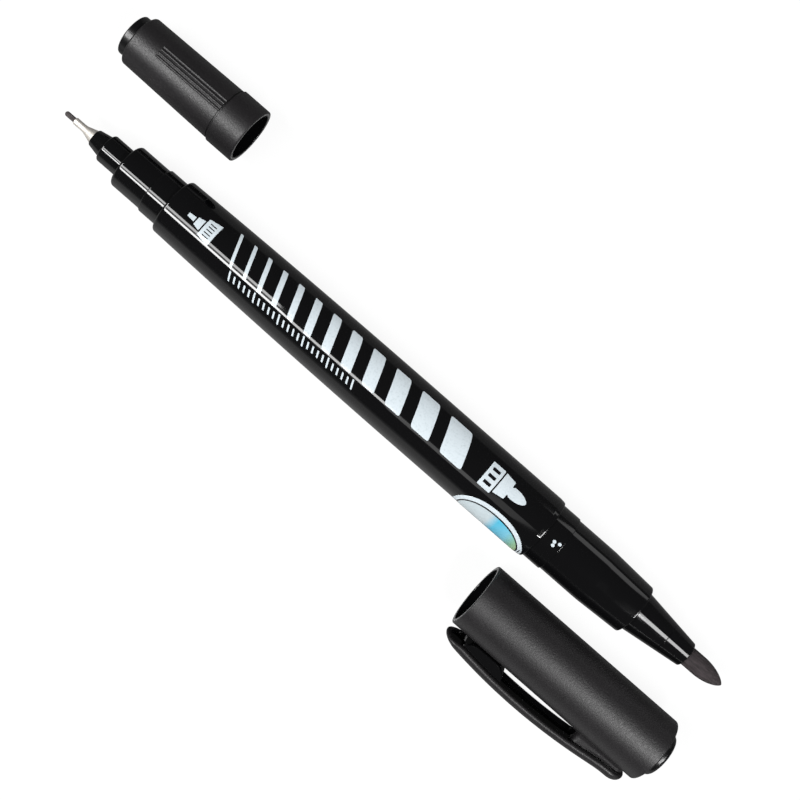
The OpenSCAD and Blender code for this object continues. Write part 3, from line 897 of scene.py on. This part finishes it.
def clip_grip():
    """A pad on the leaf's inner face, flat beside the cap, with a circle's arc at both ends. Its
    depth shrinks towards its sides by the share edge times a power of y, and each side is a flat
    wall round one middle point."""
    # Middle along the leaf, half of the flat stretch, radius of the ends and half width
    at = 7.9
    half_flat = 1.7
    grip_r = 2.5
    half_w = 1.85
    # Share of the depth that the sides lose, and the power that keeps the loss there
    edge = 0.08
    edge_power = 12
    cap_room = 0.1
    arc_steps = 17
    width_steps = 41

    chord = leaf_at(at, -clip_t / 2)
    centre = big_cap_r + cap_room + grip_r
    arc = np.linspace(0, math.acos((centre - chord) / grip_r), arc_steps)
    ahead = half_flat + grip_r * np.sin(arc)
    depth = centre - grip_r * np.cos(arc) - chord
    loop_along = np.concatenate([-ahead[::-1], ahead, -ahead[-1:]])
    loop_depth = np.concatenate([depth[::-1], depth, depth[-1:]])
    y = np.sin(np.linspace(-np.pi / 2, np.pi / 2, width_steps))
    y = np.concatenate([[-1], y, [1]])[:, None]
    wall = np.ones_like(y)
    wall[[0, -1]] = 0
    out = chord + np.where(wall, (1 - edge * y ** edge_power) * loop_depth, depth.mean())
    pad = on_cap(out, half_w * y + 0 * loop_depth, at + wall * loop_along)
    fit(skin("clip_grip_pad", pad), [gloss_black], "clip")


clip_leaf()
clip_web()
clip_grip()


# The print, with places along X and along the arc from the barrel's top towards +Y

# How far the ink stands on the barrel, and its edge reaches into it
INK_UP = 0.02
INK_DOWN = 0.05


def patch(x, arc, half_x, half_arc, corner, lean=0.0, taper=0.0, up=INK_UP, base=barrel_radius):
    """Two grids that close a thin film on the barrel. In the film's own plane its edge is the curve
    |u|^n + |v|^n = 1 with the corner n, so n = 2 is an oval and a large n an oblong. u goes to x, v
    goes round the barrel, lean shifts x by v and taper narrows v by u."""
    columns = 97
    # Rings of points on the film, and the share of the way out up to which it is level
    rings = 10
    level = 0.985
    turn = np.linspace(0, 2 * np.pi, columns)[None, :]
    edge = (np.abs(np.cos(turn)) ** corner + np.abs(np.sin(turn)) ** corner) ** (-1 / corner)

    def on_barrel(share, height):
        u, v = share * edge * np.cos(turn), share * edge * np.sin(turn)
        around = (arc + half_arc * v * (1 - taper * u)) / barrel_r
        along = x + half_x * u + lean * half_arc * v
        r = base(along) + height
        return np.stack([along, r * np.sin(around), r * np.cos(around)], -1)

    shares = np.append(np.linspace(0, level, rings), 1)[:, None]
    top = np.append(np.full(rings, up), -INK_DOWN)[:, None]
    bottom = np.full_like(top, -INK_DOWN)
    return [on_barrel(shares, top), on_barrel(shares, bottom)[:, ::-1]]


def press(name, ink, patches):
    """One piece of ink from several patches."""
    fit(skin(name, *(grid for both in patches for grid in both)), [ink], "pen")


def line_weight_scale():
    """Slanted bars that grow by one factor, from fine at the needle end to broad at the bullet end,
    and ticks beside them."""
    # The bars: where they begin and end, how many, the first's and the last's width
    first, last = -48.0, -1.0
    count = 12
    finest, broadest = 0.55, 4.4
    # Their middle and half length round the barrel, their slant and their corners
    middle_arc = 1.45
    half_arc = 3.0
    lean = -0.36
    bar_corner = 14
    # The ticks: where they begin and end, their distance, place round the barrel and half width
    tick_first, tick_last, tick_pitch = -46.0, -20.0, 1.0
    tick_arc = -2.65
    tick_half = 0.16
    # Half length of a tick, and of every fifth one
    short, long, long_every = 0.6, 0.85, 5
    tick_corner = 8

    widths = finest * (broadest / finest) ** (np.arange(count) / (count - 1))
    gap = (last - first - widths.sum()) / (count - 1)
    starts = first + np.append(0, np.cumsum(widths + gap)[:-1])
    bars = [
        patch(start + width / 2, middle_arc, width / 2, half_arc, bar_corner, lean)
        for start, width in zip(starts, widths)]
    ticks = [
        patch(x, tick_arc, tick_half, short if i % long_every else long, tick_corner, lean)
        for i, x in enumerate(np.arange(tick_first, tick_last, tick_pitch))]
    press("print_line_weights", white_ink, bars + ticks)


def end_marks():
    """A sign for each point: a panel with strokes as broad as its line, and its own shape."""
    # Corners of an oblong and of a tip like an egg
    square = 40
    egg = 1.75
    # The tip lies over its root, and the strokes over the panels
    tip_up = 1.2 * INK_UP
    stroke_up = 2 * INK_UP
    # Middle of each panel, and the distance of the strokes on it
    needle_x, needle_arc, needle_pitch = -52.7, 0.79, 0.57
    bullet_x, bullet_arc, bullet_pitch = 4.3, 0.93, 1.2
    press("print_needle_sign", white_ink, [
        patch(needle_x, needle_arc, half_x=1.18, half_arc=1.95, corner=square, taper=-0.13),
        patch(x=-54.7, arc=0.73, half_x=0.6, half_arc=0.88, corner=square, taper=-0.165),
        patch(x=-56.2, arc=0.76, half_x=0.65, half_arc=0.39, corner=square, taper=-0.15)])
    press("print_bullet_sign", white_ink, [
        patch(bullet_x, bullet_arc, half_x=1.23, half_arc=2.23, corner=square),
        patch(x=6.75, arc=1.13, half_x=1.0, half_arc=1.77, corner=square, taper=0.093),
        patch(x=8.5, arc=1.12, half_x=0.46, half_arc=0.95, corner=square),
        patch(x=8.9, arc=1.12, half_x=2.05, half_arc=0.94, corner=egg, up=tip_up)])
    needle_strokes = [
        patch(needle_x, arc, half_x=0.6, half_arc=0.09, corner=square, up=stroke_up)
        for arc in needle_arc + needle_pitch * np.arange(-2, 3)]
    bullet_strokes = [
        patch(bullet_x, arc, half_x=0.7, half_arc=0.27, corner=square, up=stroke_up)
        for arc in bullet_arc + bullet_pitch * np.arange(-1, 2)]
    press("print_line_samples", black_ink, needle_strokes + bullet_strokes)


def badge():
    """An oval badge at the barrel's bullet end: a white rim, a black line and tints, in layers."""
    x = 8.9
    arc = -7.2
    half_x = 6.85
    half_arc = 4.75
    full_oval = 2.3
    rim_width = 0.75
    line_width = 0.25
    layers = (
        ("print_badge_rim", white_ink, 0.0),
        ("print_badge_line", black_ink, rim_width),
        ("print_badge_tints", tint_ink, rim_width + line_width))
    for layer, (name, ink, inset) in enumerate(layers, start=1):
        press(name, ink, [
            patch(x, arc, half_x - inset, half_arc - inset, full_oval, up=layer * INK_UP)])


def collar_glint_dots():
    """Three small white dots on the bullet section's collar: painted glints, standing in for
    bright specks of reflected light.
    """
    half = 0.3
    circle = 2
    places = ((18.15, -0.91), (17.98, -0.28), (18.88, -0.06))

    def collar(along):
        return bullet_collar_r + 0 * along

    # Painted glints, drawn as dots of white ink
    press("painted_collar_glints", white_ink, [
        patch(x, arc, half, half, circle, base=collar) for x, arc in places])


line_weight_scale()
end_marks()
badge()
collar_glint_dots()


# The table, the lamps and the camera

def table():
    """A white table top. To the camera it is mostly white by itself, so that the shadow is faint,
    and further out as white as the backdrop. Glossy pieces see a glow on it with painted light and
    shade: bright on the lamps' side of the pen, dim on the other side, and a painted shadow beneath
    the big cap."""
    half_side = 3000.0
    # Share of its own white near the object, and the distances between which that grows to 1
    own_white = 0.92
    near, far = 100.0, 350.0
    # Painted light and shade that glossy pieces see, bright and dim on the two sides of the pen,
    # and
    #     # the places across the pen between which it changes
    lit, dim = 0.55, 0.2
    lit_until, dim_from = -14.0, -4.0
    # Where the big cap begins to move that painted change, along the pen, and how far
    cap_from, cap_until, cap_shift = 6.0, 18.0, 20.0
    # The painted shadow beneath the big cap: middle and half width across the pen, width of its
    #     # edge, share of light left, and how far before the mouth it begins
    under_middle, under_half, under_edge = -17.5, 6.0, 2.0
    under_left = 0.15
    under_before = 1.0

    mesh = bpy.data.meshes.new("table_top")
    side, top_z = half_side * MM, table_z * MM
    plan = ((-side, -side), (side, -side), (side, side), (-side, side))
    mesh.from_pydata([(x, y, top_z) for x, y in plan], [], [(0, 1, 2, 3)])
    top = put("table_top", mesh)
    material = bpy.data.materials.new("white_laminate")
    tree = bare_tree(material)
    place = add(tree, "TexCoord").outputs["Object"]
    away = add(tree, "VectorMath", {0: place}, operation="LENGTH").outputs["Value"]
    share = add(tree, "MapRange", {
        "Value": away, "From Min": near * MM, "From Max": far * MM,
        "To Min": own_white, "To Max": 1.0})
    x, y, _ = add(tree, "SeparateXYZ", {0: place}).outputs
    beside_cap = add(tree, "MapRange", {
        "Value": x, "From Min": cap_from * MM, "From Max": cap_until * MM,
        "To Min": 0.0, "To Max": cap_shift * MM})
    across = add(tree, "Math", {0: y, 1: beside_cap}, operation="ADD")
    # Painted light on the lamps' side of the pen, painted shade on the other and beside the big cap
    painted_light_and_shade = add(tree, "MapRange", {
        "Value": across, "From Min": lit_until * MM, "From Max": dim_from * MM,
        "To Min": lit, "To Max": dim})
    # Painted shadow beneath the big cap, from a little before its mouth on
    off = add(tree, "Math", {0: y, 1: under_middle * MM}, operation="SUBTRACT")
    off = add(tree, "Math", {0: off}, operation="ABSOLUTE")
    left = add(tree, "MapRange", {
        "Value": off, "From Min": under_half * MM,
        "From Max": (under_half + under_edge) * MM, "To Min": under_left, "To Max": 1.0})
    before = add(tree, "MapRange", {
        "Value": x, "From Min": (big_mouth - under_before) * MM,
        "From Max": big_mouth * MM, "To Min": 1.0, "To Max": 0.0})
    left = add(tree, "Math", {0: left, 1: before}, operation="MAXIMUM")
    painted_light_and_shade = add(tree, "Math", {0: painted_light_and_shade, 1: left}, operation="MULTIPLY")
    path = add(tree, "LightPath")
    direct = add(tree, "Math", {0: path.outputs["Is Camera Ray"], 1: share}, operation="MULTIPLY")
    seen = add(tree, "Math", {
        0: path.outputs["Is Glossy Ray"], 1: path.outputs["Is Transmission Ray"]},
        operation="MAXIMUM")
    factor = add(tree, "Math", {0: direct, 1: seen}, operation="MAXIMUM")
    strength = add(tree, "Math", {
        0: path.outputs["Is Camera Ray"], 1: painted_light_and_shade}, operation="MAXIMUM")
    matte = add(tree, "BsdfDiffuse", {"Color": linear("#f7f7f7")})
    glow = add(tree, "Emission", {"Color": linear("#ffffff"), "Strength": strength})
    mixed = add(tree, "MixShader", {0: factor, 1: matte, 2: glow})
    add(tree, "OutputMaterial", {"Surface": mixed})
    mesh.materials.append(material)


def backdrop():
    """Pale low on the lamps' side, and a dark room elsewhere, so that the black pieces stay black.
    The camera itself sees white everywhere."""
    pale, dark = 0.36, 0.07
    # Height of a direction up to which it is pale, and how far across the pen it fades
    low_until = 0.18
    fade = 0.3
    world = bpy.data.worlds.new("studio")
    bpy.context.scene.world = world
    tree = bare_tree(world)
    direction = add(tree, "TexCoord").outputs["Generated"]
    _, y, z = add(tree, "SeparateXYZ", {0: direction}).outputs
    low = add(tree, "MapRange", {
        "Value": z, "From Min": 0.0, "From Max": low_until, "To Min": pale - dark, "To Max": 0.0})
    side = add(tree, "MapRange", {
        "Value": y, "From Min": -fade, "From Max": fade, "To Min": 1.0, "To Max": 0.0})
    bright = add(tree, "Math", {0: low, 1: side, 2: dark}, operation="MULTIPLY_ADD")
    path = add(tree, "LightPath")
    strength = add(tree, "Math", {0: path.outputs["Is Camera Ray"], 1: bright}, operation="MAXIMUM")
    sky = add(tree, "Background", {"Color": linear("#ffffff"), "Strength": strength})
    add(tree, "OutputWorld", {"Surface": sky})


# Lamps: name, centre, width along X and depth along Y, radiance, and whether it faces the pen
LAMPS = (
    ("strip_outer", (-200, -277, 500), (180, 80), 20.0, False),
    ("strip_between", (-200, -202, 500), (180, 62), 1.2, False),
    ("strip_inner", (-200, -133, 500), (180, 74), 9.5, False),
    ("strip_middle", (-65, -290, 500), (90, 90), 11.0, False),
    ("strip_far", (20, -330, 500), (80, 150), 1.3, False),
    ("strip_end", (74, -270, 500), (28, 250), 0.6, False),
    ("box_nose_base", (351, -20, 500), (78, 190), 10.0, False),
    ("box_nose_tip", (418, -20, 500), (56, 310), 10.0, False),
    ("box_far_side", (157, 500, 190), (115, 170), 0.95, True),
    ("fill_needle_side", (-370, -160, 500), (140, 260), 18.0, False),
    ("fill_bullet_side", (286, -140, 500), (48, 270), 46.0, False))
# An area lamp's power over its area and radiance
POWER_PER_RADIANCE = 4.0


def lamps():
    """Flat boxes of light that face the pen or straight down. Only the camera doesn't see them."""
    for name, centre, (width, depth), radiance, faces_pen in LAMPS:
        data = bpy.data.lights.new(name, "AREA")
        data.shape = "RECTANGLE"
        data.size, data.size_y = width * MM, depth * MM
        data.energy = POWER_PER_RADIANCE * data.size * data.size_y * radiance
        lamp = put(name, data)
        lamp.location = Vector(centre) * MM
        if faces_pen:
            lamp.rotation_euler = lamp.location.to_track_quat("Z", "Y").to_euler()
        lamp.visible_camera = False


def camera():
    """Straight above the table, turned so that the pen runs from upper left to lower right."""
    image_px = 800
    focal_px = 1300
    place = (-13.94, 0.52, 203.0)
    turn = math.radians(41.16)
    nearest = 10.0
    data = bpy.data.cameras.new("photo_view")
    data.lens = data.sensor_width * focal_px / image_px
    data.clip_start = nearest * MM
    eye = put("photo_view", data)
    eye.location = Vector(place) * MM
    eye.rotation_euler = (0, 0, turn)
    bpy.context.scene.camera = eye


table()
backdrop()
lamps()
camera()
bpy.context.scene.view_settings.view_transform = "Standard"
